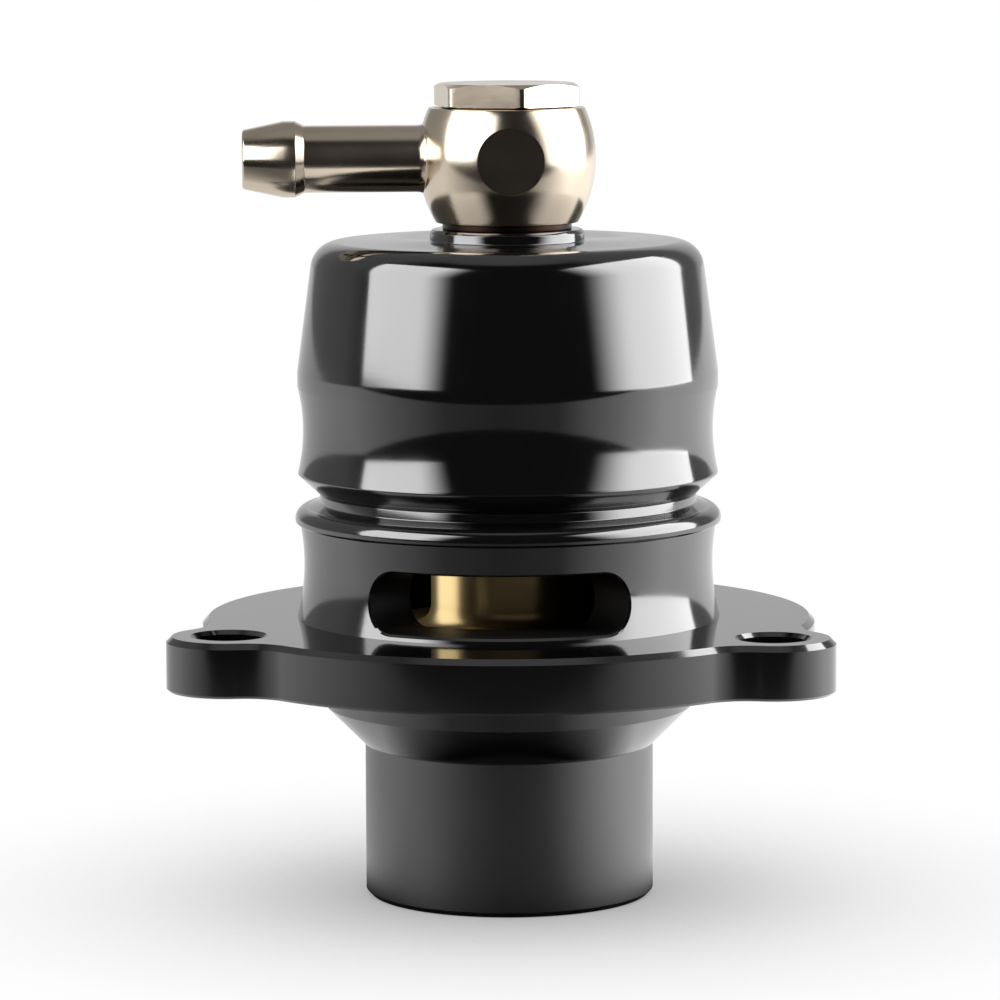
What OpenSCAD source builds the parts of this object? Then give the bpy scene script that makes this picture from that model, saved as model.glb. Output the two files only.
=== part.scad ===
// Blow off valve: a flanged and vented housing, a screwed cap and a swivelling banjo union.
// A sprung piston inside lifts off its seat and lets air out of the vents.
// Millimetres. The origin is the centre of the flange's mounting face, and Z is the valve's axis.
// The front vent faces -Y and the hose barb points to -X.

/* [Flange] */
// Thickness of the mounting flange
flange_t = 5.25; // [4:0.05:8]
// Diameter of the round part of the flange
flange_d = 60; // [54:0.2:62]
// Diameter of the circle of bolt holes
bolt_circle_d = 60; // [58:0.5:66]
// Diameter of each bolt hole
bolt_hole_d = 6.6; // [5:0.1:7.4]
// Number of ears, one for each bolt
ear_count = 3; // [2:1:4]
// Metal round each bolt hole
ear_wall = 2.7; // [2:0.05:4]
// Radius of the hollow between an ear and the disc
ear_fillet_r = 5; // [2:0.5:8]
// Chamfer on the upper edge of the flange
flange_chamfer = 0.55; // [0.2:0.05:1]
// Chamfer on the lower edge of the flange
flange_low_chamfer = 0.25; // [0.1:0.05:0.6]
// Chamfer on the mouths of the bolt holes
hole_chamfer = 0.4; // [0.1:0.05:0.8]

/* [Spigot] */
// Outside diameter of the spigot
spigot_d = 28.3; // [25:0.1:31]
// Length of the spigot below the mounting face
spigot_l = 22.3; // [16:0.1:30]
// Wall of the spigot
spigot_wall = 2.15; // [1.5:0.05:3]
// Chamfer on the end of the spigot
spigot_edge = 0.5; // [0.3:0.1:0.9]
// Diameter of the shoulder under the flange
shoulder_d = 36; // [34:0.5:40]
// Height of the straight part of the shoulder
shoulder_h = 3.5; // [1.5:0.1:4.5]
// Height of the cone from the shoulder to the spigot
shoulder_cone_h = 3.85; // [3:0.05:6]

/* [Vented body] */
// Diameter at the waist of the body
waist_d = 40; // [39:0.1:41]
// Radius of the hollow curve down the body
waist_arc_r = 20; // [14:0.5:30]
// Drop from the bead to the waist
waist_drop = 2.8; // [1.5:0.1:4]
// Number of vents
vent_count = 1; // [1:1:3]
// Height of a vent
vent_h = 5.8; // [4.5:0.1:7]
// Body wall left under a vent
vent_lip = 0.55; // [0.5:0.05:1.5]
// Angle between the two end centres of a vent
vent_span = 59.6; // [40:0.2:66]
// Body wall between a vent and the bead
vent_roof = 1.8; // [1.5:0.1:3]
// Diameter over the bead
bead_d = 41.7; // [40.4:0.1:43]
// Radius of the nose of the bead
bead_nose_r = 1.2; // [0.8:0.1:1.4]
// Height of the bead
bead_h = 3.1; // [2.9:0.1:4]
// Diameter of the neck under the cap
neck_d = 36.9; // [36:0.1:38]
// Height of the neck
neck_h = 0.95; // [0.8:0.05:2]

/* [Cylinder] */
// Bore in which the actuator piston runs
cylinder_d = 30; // [29.6:0.1:30.6]
// Wall of the screwed collar that the cap fits
collar_wall = 2.4; // [2:0.1:2.6]
// Length of the screwed collar
collar_h = 13.5; // [13:0.1:15]
// Width of the valve seat
seat_w = 2.4; // [2:0.1:2.6]
// Depth of the seat below the top of the flange
seat_drop = 2.75; // [2:0.05:3.5]
// Step that carries the piston guide, above the vents
guide_ledge = 1.6; // [1:0.1:2]
// Thickness of the piston guide
guide_t = 3.8; // [3:0.1:4.5]
// Thickness of the retaining ring
ring_t = 1; // [0.8:0.1:1.2]
// Depth of the retaining ring's groove
ring_groove = 0.8; // [0.5:0.05:1]

/* [Cap] */
// Largest diameter of the cap
cap_d = 41.1; // [40.6:0.1:42.6]
// Diameter at the bottom of the cap's hollow band
cap_band_d = 40.06; // [39.6:0.02:40.6]
// Radius of the hollow curve of the band
cap_band_r = 21; // [18:1:40]
// Height from the cap's bottom to the narrowest part of the band
cap_band_rise = 6.65; // [6:0.05:8]
// Diameter of the cap's bottom face
cap_foot_d = 37; // [36.4:0.1:38]
// Height of the bevel round the cap's bottom
cap_bevel_h = 1.9; // [1.5:0.05:3]
// Height from the cap's bottom to its widest edge
cap_skirt_h = 11.4; // [10.8:0.1:12.5]
// Height of the tapered part of the cap
cap_dome_h = 13.15; // [11:0.05:16]
// Slope of the tapered side, in degrees
cap_taper = 7.6; // [2:0.1:10]
// Radius round the top edge of the cap
cap_round_r = 2.7; // [1:0.1:3.5]
// Thickness of the cap's roof
cap_roof_t = 3.4; // [2.5:0.1:4]
// Diameter of the spring chamber in the cap
chamber_d = 28; // [26:0.2:29]
// Diameter of the round pad on top of the cap
pad_d = 15.1; // [14:0.1:18]
// Height of the pad
pad_h = 1.15; // [0.6:0.05:2]
// Diameter of the boss under the roof
roof_boss_d = 13; // [11:0.5:16]
// Height of the boss under the roof
roof_boss_h = 2.6; // [1.5:0.1:3]

/* [Piston] */
// Diameter of the brass stem
stem_d = 15.2; // [14:0.1:16]
// Thickness of the valve head
head_t = 1.75; // [1.5:0.05:2.5]
// Radius between the stem and the head
head_flare_r = 2; // [1:0.1:2.5]
// Diameter of the hollow in the underside
hollow_d = 10; // [6:0.5:12]
// Depth of the hollow in the underside
hollow_depth = 4.5; // [2:0.1:5]
// Height of the actuator piston
actuator_h = 5.5; // [5.2:0.1:6]
// Floor of the actuator piston
actuator_floor = 2.3; // [2.1:0.1:2.5]
// Wall round the spring pocket
actuator_wall = 2.9; // [2.6:0.1:3]
// Depth to which the stem is let into the actuator piston
stem_register = 1; // [0.6:0.1:1.2]
// Gap between the retaining ring and the actuator piston
actuator_gap = 0.65; // [0.5:0.05:1.5]

/* [Spring] */
// Diameter of the spring wire
wire_d = 1.8; // [1.2:0.1:1.9]
// Mean diameter of the spring
spring_d = 20.4; // [20:0.2:21.6]
// Number of turns, with the closed turn at each end
spring_turns = 6.5; // [4:0.25:7]
// Thickness of the shim on the spring
shim_t = 0.5; // [0.3:0.1:1]

/* [Banjo union] */
// Largest diameter of the eye
eye_d = 17.3; // [16:0.1:19]
// Height of the eye
eye_h = 11.15; // [10:0.05:13]
// Radius of the bulge of the eye
eye_bulge_r = 12; // [9:0.1:16]
// Height of the barb's axis above the middle of the eye
barb_rise = 0.65; // [0:0.05:1]
// Angle by which the barb is turned towards the front
banjo_angle = 6; // [-30:1:30]
// Outside diameter of the barb's tube
tube_d = 6.5; // [5.6:0.1:7]
// Bore of the barb
tube_bore = 4; // [2.5:0.1:4.2]
// Length of the barb from the valve's axis
barb_l = 25.7; // [22:0.1:36]
// Diameter over the ridge of the barb
ridge_d = 7.4; // [7.1:0.05:8.2]
// Length of the barb's nose
nose_l = 4; // [3:0.1:5]
// Diameter of the barb's tip
tip_d = 5.7; // [4.6:0.1:6]
// Radius where the tube meets the eye
tube_fillet_r = 1.6; // [0.6:0.1:2]
// Diameter of the flat spot on the eye
spot_d = 6.5; // [4:0.1:7]
// Depth of the flat spot
spot_depth = 0.7; // [0.68:0.01:1.2]
// Thread diameter of the banjo bolt
bolt_d = 8; // [7:0.5:8]
// Width across the flats of the bolt's head
bolt_af = 13; // [12:0.5:14]
// Height of the bolt's head
bolt_head_h = 2.2; // [1.6:0.1:5]
// Thickness of a sealing washer
washer_t = 0.65; // [0.5:0.05:1]
// Diameter of a sealing washer
washer_d = 12.6; // [11.6:0.1:12.8]

/* [Clearances] */
// Gap between a moving round piece and its bore
run_gap = 0.05; // [0.02:0.01:0.08]
// Gap between round pieces that are fixed together
fit_gap = 0.03; // [0.02:0.01:0.06]
// Gap between flat faces that only meet under load
face_gap = 0.05; // [0.03:0.01:0.1]

/* [Hidden] */
$fn = 96;
// How far a cutting shape reaches past the metal
cut = 1;

// Radii of the housing
flange_r = flange_d / 2;
bolt_circle_r = bolt_circle_d / 2;
hole_r = bolt_hole_d / 2;
ear_r = hole_r + ear_wall;
ear_angles = [for (i = [0:ear_count - 1]) 90 + i * 360 / ear_count];
spigot_r = spigot_d / 2;
spigot_bore_r = spigot_r - spigot_wall;
shoulder_r = shoulder_d / 2;
waist_r = waist_d / 2;
bead_r = bead_d / 2;
neck_r = neck_d / 2;
vent_chamber_r = spigot_bore_r + seat_w;
cylinder_r = cylinder_d / 2;
collar_r = cylinder_r + collar_wall;
ring_groove_r = cylinder_r + ring_groove;
// The ear fillets are let this far into the disc and the ears, so that the edges cross
fillet_overlap = 0.02;
// The straight part of a vent stops this angle short of its end centres, so that the faces cross
vent_blend = 1;

// Heights of the housing, from the mounting face upwards
seat_z = flange_t - seat_drop;
vent_z = flange_t + vent_lip;
vent_top = vent_z + vent_h;
guide_z = vent_top + guide_ledge;
guide_top = guide_z + guide_t;
ring_z = guide_top + face_gap;
ring_top = ring_z + ring_t;
bead_z = vent_top + vent_roof;
bead_axis_z = bead_z + bead_h / 2;
bead_top = bead_z + bead_h;
waist_z = bead_z - waist_drop;
neck_top = bead_top + neck_h;
collar_top = neck_top + collar_h;
foot_r = waist_r + waist_arc_r - sqrt(waist_arc_r ^ 2 - (waist_z - flange_t) ^ 2);

// Heights and radii of the cap
cap_r = cap_d / 2;
cap_z = neck_top;
cap_edge_z = cap_z + cap_skirt_h;
cap_top = cap_edge_z + cap_dome_h;
pad_top = cap_top + pad_h;
cap_bore_r = collar_r + fit_gap;
cap_bore_top = collar_top + face_gap;
roof_z = cap_top - cap_roof_t;
roof_boss_z = roof_z - roof_boss_h;
band_axis = [cap_band_d / 2 + cap_band_r, cap_z + cap_band_rise];
round_axis_z = cap_top - cap_round_r;
round_axis_r = cap_r - (cap_round_r + (round_axis_z - cap_edge_z) * sin(cap_taper)) / cos(cap_taper);

// The cap's sealing ring sits near the top of the collar and just clears its groove and the cap's bore
cap_ring_groove = 0.9;
cap_ring_width = 1.4;
cap_ring_z = collar_top - 2;
cap_ring_section = (cap_ring_groove + fit_gap) / 2 - run_gap;

// Heights and radii of the pistons
stem_r = stem_d / 2;
head_r = vent_chamber_r - 0.5;
seal_in_r = spigot_bore_r + 0.35;
seal_out_r = seal_in_r + 0.9;
seal_depth = 0.9;
seal_z = seat_z + face_gap;
head_z = seal_z + 0.1;
head_top = head_z + head_t;
actuator_r = cylinder_r - run_gap;
actuator_z = ring_top + actuator_gap;
actuator_top = actuator_z + actuator_h;
pocket_z = actuator_z + actuator_floor;
pocket_r = actuator_r - actuator_wall;
stem_top = actuator_z + stem_register;
bush_r = stem_r + 1.38;
bush_collar_r = bush_r + 1.5;
bush_collar_t = 0.8;

// Grooves of the actuator piston: a wear ring below and a sealing ring above
wear_z = actuator_z + 0.6;
wear_h = 1.5;
wear_in_r = actuator_r - 1;
o_ring_z = actuator_z + 3.6;
o_ring_section = 0.78;
o_ring_groove_w = 2;
o_ring_groove_r = actuator_r - 1.62;

// Screw that holds the actuator piston to the stem
screw_r = 2.5;
screw_head_r = 4.25;
screw_head_h = 5;
screw_l = 11;
screw_key_af = 4;
screw_key_depth = 2.5;
flat_washer_r = 5;
flat_washer_t = 1;

// Spring between the actuator piston and the shim under the roof
shim_z = roof_z - shim_t;
spring_r = spring_d / 2;
spring_z = pocket_z + face_gap;
spring_top = shim_z - face_gap;
closed_pitch = wire_d * 1.04;
wire_sides = 10;
rings_per_turn = 24;

// Heights and radii of the banjo union
washer_r = washer_d / 2;
bolt_r = bolt_d / 2;
lower_washer_z = pad_top;
eye_z = lower_washer_z + washer_t;
eye_top = eye_z + eye_h;
eye_r = eye_d / 2;
barb_z = eye_z + eye_h / 2 + barb_rise;
eye_bore_r = bolt_r + 0.5;
washer_recess = washer_t - 0.15;
upper_washer_z = eye_top - washer_recess;
bolt_head_z = upper_washer_z + washer_t;
bolt_head_corner_turn = -75;
bolt_end_z = roof_boss_z + 0.4;
tube_r = tube_d / 2;
ridge_r = ridge_d / 2;
ridge_land = 1.1;
ridge_back = 0.9;

// A point in the plane, at a distance and an angle from the valve's axis
function polar(r, angle) = r * [cos(angle), sin(angle)];

// Turns of the coil's centre line climbed so far: closed at both ends, open between them
function coil_rise(t) =
    let (open_turns = spring_turns - 2)
    let (open_rise = spring_top - spring_z - wire_d - 2 * closed_pitch)
    t < 1 ? t * closed_pitch
    : t < spring_turns - 1 ? closed_pitch + (t - 1) * open_rise / open_turns
    : closed_pitch + open_rise + (t - spring_turns + 1) * closed_pitch;

// A point on the wire: t turns along it and a degrees round its section
function wire_point(t, a) =
    let (r = spring_r + wire_d / 2 * cos(a))
    [r * cos(360 * t), r * sin(360 * t), spring_z + wire_d / 2 + coil_rise(t) + wire_d / 2 * sin(a)];

// A disc of the flange's thickness, with a chamfer on its lower and upper edges
module edged_disc(r) {
    rotate_extrude()
        polygon([[0, 0], [r - flange_low_chamfer, 0], [r, flange_low_chamfer], [r, flange_t - flange_chamfer],
                 [r - flange_chamfer, flange_t], [0, flange_t]]);
}

// A cutter of radius r whose two ends flare outwards past a plate of height h
module flared_cutter(r, h, low, high) {
    rotate_extrude()
        polygon([[0, -cut], [r + low, -cut], [r + low, 0], [r, low], [r, h - high], [r + high, h],
                 [r + high, h + cut], [0, h + cut]]);
}

// A plain ring
module ring(outer, inner, h) {
    rotate_extrude()
        translate([inner, 0])
            square([outer - inner, h]);
}

// A ring of round section
module round_ring(mid_r, section) {
    rotate_extrude()
        translate([mid_r, 0])
            circle(r = section, $fn = 32);
}

// The flange: a disc, its ears and the hollow fillets that join them
module flange_plate() {
    fillet_axis_r = flange_r + ear_fillet_r - fillet_overlap;
    ear_reach = ear_r + ear_fillet_r - fillet_overlap;
    turn = acos((bolt_circle_r ^ 2 + fillet_axis_r ^ 2 - ear_reach ^ 2) / (2 * bolt_circle_r * fillet_axis_r));
    edged_disc(flange_r);
    for (angle = ear_angles) {
        translate(polar(bolt_circle_r, angle))
            edged_disc(ear_r);
        for (side = [-1, 1]) {
            fillet_axis = polar(fillet_axis_r, angle + side * turn);
            difference() {
                linear_extrude(flange_t)
                    polygon([[0, 0], fillet_axis, polar(bolt_circle_r, angle)]);
                translate(fillet_axis)
                    flared_cutter(ear_fillet_r, flange_t, flange_low_chamfer, flange_chamfer);
            }
        }
    }
}

// Outer half section of the housing, without the flange's ears
module housing_outline() {
    spigot_top = -shoulder_h - shoulder_cone_h;
    polygon([[0, -spigot_l], [spigot_r - spigot_edge, -spigot_l], [spigot_r, spigot_edge - spigot_l],
             [spigot_r, spigot_top], [shoulder_r, -shoulder_h], [shoulder_r, flange_t], [0, flange_t]]);
    difference() {
        translate([0, flange_t])
            square([foot_r, bead_axis_z - flange_t]);
        translate([waist_r + waist_arc_r, waist_z])
            circle(r = waist_arc_r, $fn = 200);
    }
    translate([bead_r - bead_nose_r, bead_axis_z])
        circle(r = bead_nose_r, $fn = 48);
    polygon([[0, bead_axis_z], [bead_r - bead_nose_r, bead_axis_z],
             [bead_r - bead_nose_r, bead_axis_z + bead_nose_r], [neck_r, bead_top], [neck_r, neck_top],
             [collar_r, neck_top], [collar_r, collar_top - cap_ring_groove / 2],
             [collar_r - cap_ring_groove / 2, collar_top], [0, collar_top]]);
}

// Half section of everything bored or turned out of the housing
module housing_bores() {
    polygon([[0, -spigot_l - cut], [spigot_bore_r, -spigot_l - cut], [spigot_bore_r, seat_z],
             [vent_chamber_r, seat_z], [vent_chamber_r, guide_z], [cylinder_r, guide_z],
             [cylinder_r, guide_top], [ring_groove_r, guide_top], [ring_groove_r, ring_top + face_gap],
             [cylinder_r, ring_top + face_gap], [cylinder_r, collar_top + cut], [0, collar_top + cut]]);
    translate([collar_r - cap_ring_groove, cap_ring_z])
        square([cap_ring_groove + cut, cap_ring_width]);
}

// One vent, cut outwards along +X with round ends
module vent_cutter() {
    reach = foot_r + cut - vent_chamber_r / 2;
    middle_span = vent_span - 2 * vent_blend;
    for (side = [-1, 1])
        rotate([0, 0, side * vent_span / 2])
            translate([vent_chamber_r / 2, 0, vent_z + vent_h / 2])
                rotate([0, 90, 0])
                    cylinder(r = vent_h / 2, h = reach);
    rotate([0, 0, -middle_span / 2])
        rotate_extrude(angle = middle_span)
            translate([vent_chamber_r / 2, vent_z])
                square([reach, vent_h]);
}

// Flange, spigot and vented body, turned and milled from one billet
module base_housing() {
    color("#15151a")
        difference() {
            union() {
                flange_plate();
                rotate_extrude()
                    housing_outline();
            }
            rotate_extrude()
                housing_bores();
            for (angle = ear_angles)
                translate(polar(bolt_circle_r, angle))
                    flared_cutter(hole_r, flange_t, hole_chamfer, hole_chamfer);
            for (i = [0:vent_count - 1])
                rotate([0, 0, -90 + i * 360 / vent_count])
                    vent_cutter();
        }
}

// Outer half section of the cap
module cap_outline() {
    round_start = [round_axis_r + cap_round_r * cos(cap_taper), round_axis_z + cap_round_r * sin(cap_taper)];
    difference() {
        polygon([[0, cap_z], [cap_foot_d / 2, cap_z], [cap_r, cap_z + cap_bevel_h], [cap_r, cap_edge_z],
                 round_start, [round_axis_r, cap_top], [0, cap_top]]);
        translate(band_axis)
            circle(r = cap_band_r, $fn = 400);
    }
    translate([round_axis_r, round_axis_z])
        circle(r = cap_round_r, $fn = 96);
    square_top([pad_d / 2, pad_top], 0.3);
}

// A half section from the cap's top up to a given corner, with a bevel of the given width
module square_top(corner, bevel) {
    polygon([[0, cap_top], [corner[0], cap_top], [corner[0], corner[1] - bevel],
             [corner[0] - bevel, corner[1]], [0, corner[1]]]);
}

// Cap that screws on to the collar and holds the spring and the banjo bolt
module top_cap() {
    color("#121216")
        rotate_extrude()
            difference() {
                cap_outline();
                polygon([[0, cap_z - cut], [cap_bore_r, cap_z - cut], [cap_bore_r, cap_bore_top],
                         [chamber_d / 2, cap_bore_top], [chamber_d / 2, roof_z], [roof_boss_d / 2, roof_z],
                         [roof_boss_d / 2, roof_boss_z], [0, roof_boss_z]]);
                square([bolt_r, pad_top + cut]);
            }
}

// Sealing ring between the collar and the cap
module cap_o_ring() {
    color("#202020")
        translate([0, 0, cap_ring_z + cap_ring_width / 2])
            round_ring((collar_r - cap_ring_groove + cap_bore_r) / 2, cap_ring_section);
}

// Insert that carries the bush over the vents, with breather holes
module piston_guide() {
    breather_r = 1.2;
    breather_circle_r = (cylinder_r + bush_collar_r) / 2 - 0.6;
    color("#8d9096")
        translate([0, 0, guide_z])
            difference() {
                ring(cylinder_r - fit_gap, bush_r + fit_gap, guide_t);
                for (i = [0:5])
                    rotate([0, 0, i * 60])
                        translate([breather_circle_r, 0, -cut])
                            cylinder(r = breather_r, h = guide_t + 2 * cut);
            }
}

// Collared bush in which the stem slides
module guide_bush() {
    color("#9a6a35")
        rotate_extrude()
            polygon([[stem_r + run_gap, guide_z], [bush_r, guide_z], [bush_r, guide_top],
                     [bush_collar_r, guide_top], [bush_collar_r, guide_top + bush_collar_t],
                     [stem_r + run_gap, guide_top + bush_collar_t]]);
}

// Internal retaining ring over the guide, with two drilled lugs at its gap
module guide_retaining_ring() {
    gap_angle = 24;
    lug_r = 1.4;
    lug_axis_r = cylinder_r - lug_r - 0.5;
    ring_in_r = cylinder_r - 1.3;
    color("#55565a")
        translate([0, 0, ring_z])
            difference() {
                union() {
                    rotate([0, 0, gap_angle / 2])
                        rotate_extrude(angle = 360 - gap_angle)
                            translate([ring_in_r, 0])
                                square([ring_groove_r - fit_gap - ring_in_r, ring_t]);
                    for (side = [-1, 1])
                        rotate([0, 0, side * gap_angle / 2])
                            translate([lug_axis_r, 0, 0])
                                cylinder(r = lug_r, h = ring_t);
                }
                for (side = [-1, 1])
                    rotate([0, 0, side * gap_angle / 2])
                        translate([lug_axis_r, 0, -cut])
                            cylinder(r = lug_r / 2, h = ring_t + 2 * cut);
            }
}

// Brass valve head and stem
module valve_piston() {
    thread_z = stem_top - screw_l;
    edge = 0.4;
    color("#b58b3c")
        rotate_extrude()
            difference() {
                union() {
                    polygon([[0, head_z], [head_r - edge, head_z], [head_r, head_z + edge],
                             [head_r, head_top - edge], [head_r - edge, head_top], [0, head_top]]);
                    difference() {
                        translate([0, head_top])
                            square([stem_r + head_flare_r, head_flare_r]);
                        translate([stem_r + head_flare_r, head_top + head_flare_r])
                            circle(r = head_flare_r, $fn = 64);
                    }
                    polygon([[0, head_top], [stem_r, head_top], [stem_r, stem_top - edge],
                             [stem_r - edge, stem_top], [0, stem_top]]);
                }
                translate([0, head_z - cut])
                    square([hollow_d / 2, hollow_depth + cut]);
                translate([0, thread_z])
                    square([screw_r, screw_l + cut]);
                translate([seal_in_r, head_z - cut])
                    square([seal_out_r - seal_in_r, seal_depth + cut]);
            }
}

// Seal let into the underside of the valve head
module seat_seal() {
    color("#262626")
        translate([0, 0, seal_z])
            ring(seal_out_r - fit_gap, seal_in_r + fit_gap, head_z + seal_depth - seal_z);
}

// Upper piston that the signal hose and the spring act on
module actuator_piston() {
    color("#b9bcc2")
        rotate_extrude()
            difference() {
                polygon([[screw_r + fit_gap, actuator_z], [actuator_r, actuator_z],
                         [actuator_r, actuator_top], [pocket_r, actuator_top], [pocket_r, pocket_z],
                         [screw_r + fit_gap, pocket_z]]);
                translate([0, actuator_z - cut])
                    square([stem_r + fit_gap, stem_register + cut]);
                translate([wear_in_r, wear_z])
                    square([actuator_r, wear_h]);
                translate([o_ring_groove_r, o_ring_z - o_ring_groove_w / 2])
                    square([actuator_r, o_ring_groove_w]);
            }
}

// Sealing ring of the actuator piston
module actuator_o_ring() {
    color("#1f1f1f")
        translate([0, 0, o_ring_z])
            round_ring((o_ring_groove_r + actuator_r) / 2, o_ring_section);
}

// Split wear ring that keeps the actuator piston off the bore
module wear_ring() {
    split_angle = 6;
    color("#d9d3c2")
        translate([0, 0, wear_z + face_gap])
            rotate([0, 0, split_angle / 2])
                rotate_extrude(angle = 360 - split_angle)
                    translate([wear_in_r + fit_gap, 0])
                        square([actuator_r - wear_in_r - fit_gap, wear_h - 2 * face_gap]);
}

// Socket screw down the middle of the stem
module piston_screw() {
    head_base = pocket_z + flat_washer_t;
    shank_l = head_base - stem_top + screw_l - cut;
    color("#3a3b3f")
        difference() {
            union() {
                translate([0, 0, head_base - shank_l])
                    cylinder(r = screw_r - fit_gap, h = shank_l);
                translate([0, 0, head_base])
                    cylinder(r = screw_head_r, h = screw_head_h);
            }
            translate([0, 0, head_base + screw_head_h - screw_key_depth])
                cylinder(d = screw_key_af / cos(30), h = screw_key_depth + cut, $fn = 6);
        }
}

// Washer under the screw's head
module piston_washer() {
    color("#a9abb0")
        translate([0, 0, pocket_z])
            ring(flat_washer_r, screw_r + fit_gap, flat_washer_t);
}

// Coil spring with a closed turn at each end
module main_spring() {
    steps = round(spring_turns * rings_per_turn);
    points = [for (i = [0:steps], j = [0:wire_sides - 1])
        wire_point(i * spring_turns / steps, j * 360 / wire_sides)];
    walls = [for (i = [0:steps - 1], j = [0:wire_sides - 1])
        let (k = (j + 1) % wire_sides)
        [i * wire_sides + j, (i + 1) * wire_sides + j, (i + 1) * wire_sides + k, i * wire_sides + k]];
    first_end = [for (j = [0:wire_sides - 1]) j];
    last_end = [for (j = [wire_sides - 1:-1:0]) steps * wire_sides + j];
    color("#7d8087")
        polyhedron(points, concat(walls, [first_end, last_end]));
}

// Shim between the spring and the roof of the cap
module spring_shim() {
    color("#9fa2a8")
        translate([0, 0, shim_z])
            ring(spring_r + wire_d, spring_r - wire_d, shim_t);
}

// Half section of the bulged eye
module eye_section() {
    intersection() {
        translate([0, eye_z])
            square([eye_r, eye_h]);
        translate([eye_r - eye_bulge_r, barb_z])
            circle(r = eye_bulge_r, $fn = 160);
    }
}

// Half section of the barb, drawn with its axis up and the valve's axis at zero
module barb_section() {
    ridge_z = barb_l - nose_l;
    root_z = sqrt(eye_r ^ 2 - (tube_r + tube_fillet_r) ^ 2);
    polygon([[0, eye_r / 2], [tube_r, eye_r / 2], [tube_r, ridge_z - ridge_land - ridge_back],
             [ridge_r, ridge_z - ridge_land], [ridge_r, ridge_z], [tip_d / 2, barb_l], [0, barb_l]]);
    difference() {
        translate([0, root_z])
            square([tube_r + tube_fillet_r, tube_fillet_r]);
        translate([tube_r + tube_fillet_r, root_z + tube_fillet_r])
            circle(r = tube_fillet_r, $fn = 48);
    }
}

// Banjo eye with its hose barb, free to swivel before the bolt is tightened
module banjo_fitting() {
    color("#b7ada0")
        rotate([0, 0, banjo_angle])
            difference() {
                union() {
                    rotate_extrude()
                        eye_section();
                    translate([0, 0, barb_z])
                        rotate([0, -90, 0])
                            rotate_extrude()
                                barb_section();
                }
                translate([0, 0, eye_z - cut])
                    cylinder(r = eye_bore_r, h = eye_h + 2 * cut);
                translate([0, 0, eye_top - washer_recess])
                    cylinder(r = washer_r + run_gap, h = washer_recess + cut);
                translate([0, 0, barb_z])
                    rotate([0, -90, 0])
                        cylinder(d = tube_bore, h = barb_l + cut);
                translate([0, spot_depth - eye_r, barb_z])
                    rotate([90, 0, 0])
                        cylinder(d = spot_d, h = spot_depth + cut);
            }
}

// Hollow banjo bolt, drilled across inside the eye
module banjo_bolt() {
    head_top = bolt_head_z + bolt_head_h;
    corner_r = bolt_af / 2 / cos(30);
    head_bevel = 0.5;
    waist_r = bolt_r - 0.9;
    waist_margin = 1.6;
    port_r = 1.5;
    bore_r = 1.8;
    color("#c2b8aa")
        difference() {
            union() {
                intersection() {
                    translate([0, 0, bolt_head_z])
                        rotate([0, 0, bolt_head_corner_turn])
                            cylinder(r = corner_r, h = bolt_head_h, $fn = 6);
                    rotate_extrude()
                        polygon([[0, bolt_head_z - cut], [corner_r + 2 * cut, bolt_head_z - cut],
                                 [corner_r + 2 * cut, head_top - head_bevel - cut],
                                 [corner_r - 2 * head_bevel, head_top], [0, head_top]]);
                }
                rotate_extrude()
                    polygon([[0, bolt_end_z], [bolt_r - run_gap - 0.5, bolt_end_z],
                             [bolt_r - run_gap, bolt_end_z + 0.5], [bolt_r - run_gap, eye_z + waist_margin],
                             [waist_r, eye_z + waist_margin + 0.8], [waist_r, eye_top - waist_margin - 0.8],
                             [bolt_r - run_gap, eye_top - waist_margin], [bolt_r - run_gap, bolt_head_z],
                             [0, bolt_head_z]]);
            }
            translate([0, 0, bolt_end_z - cut])
                cylinder(r = bore_r, h = barb_z - bolt_end_z + 2 * port_r + cut);
            translate([0, 0, barb_z])
                rotate([90, 0, 0])
                    cylinder(r = port_r, h = 2 * bolt_d, center = true);
        }
}

// Sealing washer under the bolt's head, let into the eye
module upper_sealing_washer() {
    color("#c9955c")
        translate([0, 0, upper_washer_z])
            ring(washer_r, bolt_r + run_gap, washer_t);
}

// Sealing washer between the eye and the cap
module lower_sealing_washer() {
    color("#3b3632")
        translate([0, 0, lower_washer_z])
            ring(washer_r, bolt_r + run_gap, washer_t);
}

base_housing();
top_cap();
cap_o_ring();
piston_guide();
guide_bush();
guide_retaining_ring();
valve_piston();
seat_seal();
actuator_piston();
actuator_o_ring();
wear_ring();
piston_screw();
piston_washer();
main_spring();
spring_shim();
banjo_fitting();
banjo_bolt();
upper_sealing_washer();
lower_sealing_washer();
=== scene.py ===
"""Dresses a blow off valve: fine meshes, real finishes, soft studio light and one camera.

The classes hold sizes in millimetres. Meshes are in metres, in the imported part's own frame: the origin is
the centre of the flange's mounting face, +Z is the valve's axis, the front vent faces -Y.
"""

import logging
import math
from dataclasses import dataclass
from enum import Enum
from functools import partial

import bmesh
import bpy
from bmesh.types import BMesh
from bpy.types import Light, Material, Mesh, Node, NodeSocket, NodeTree, Object
from mathutils import Matrix, Vector


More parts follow.
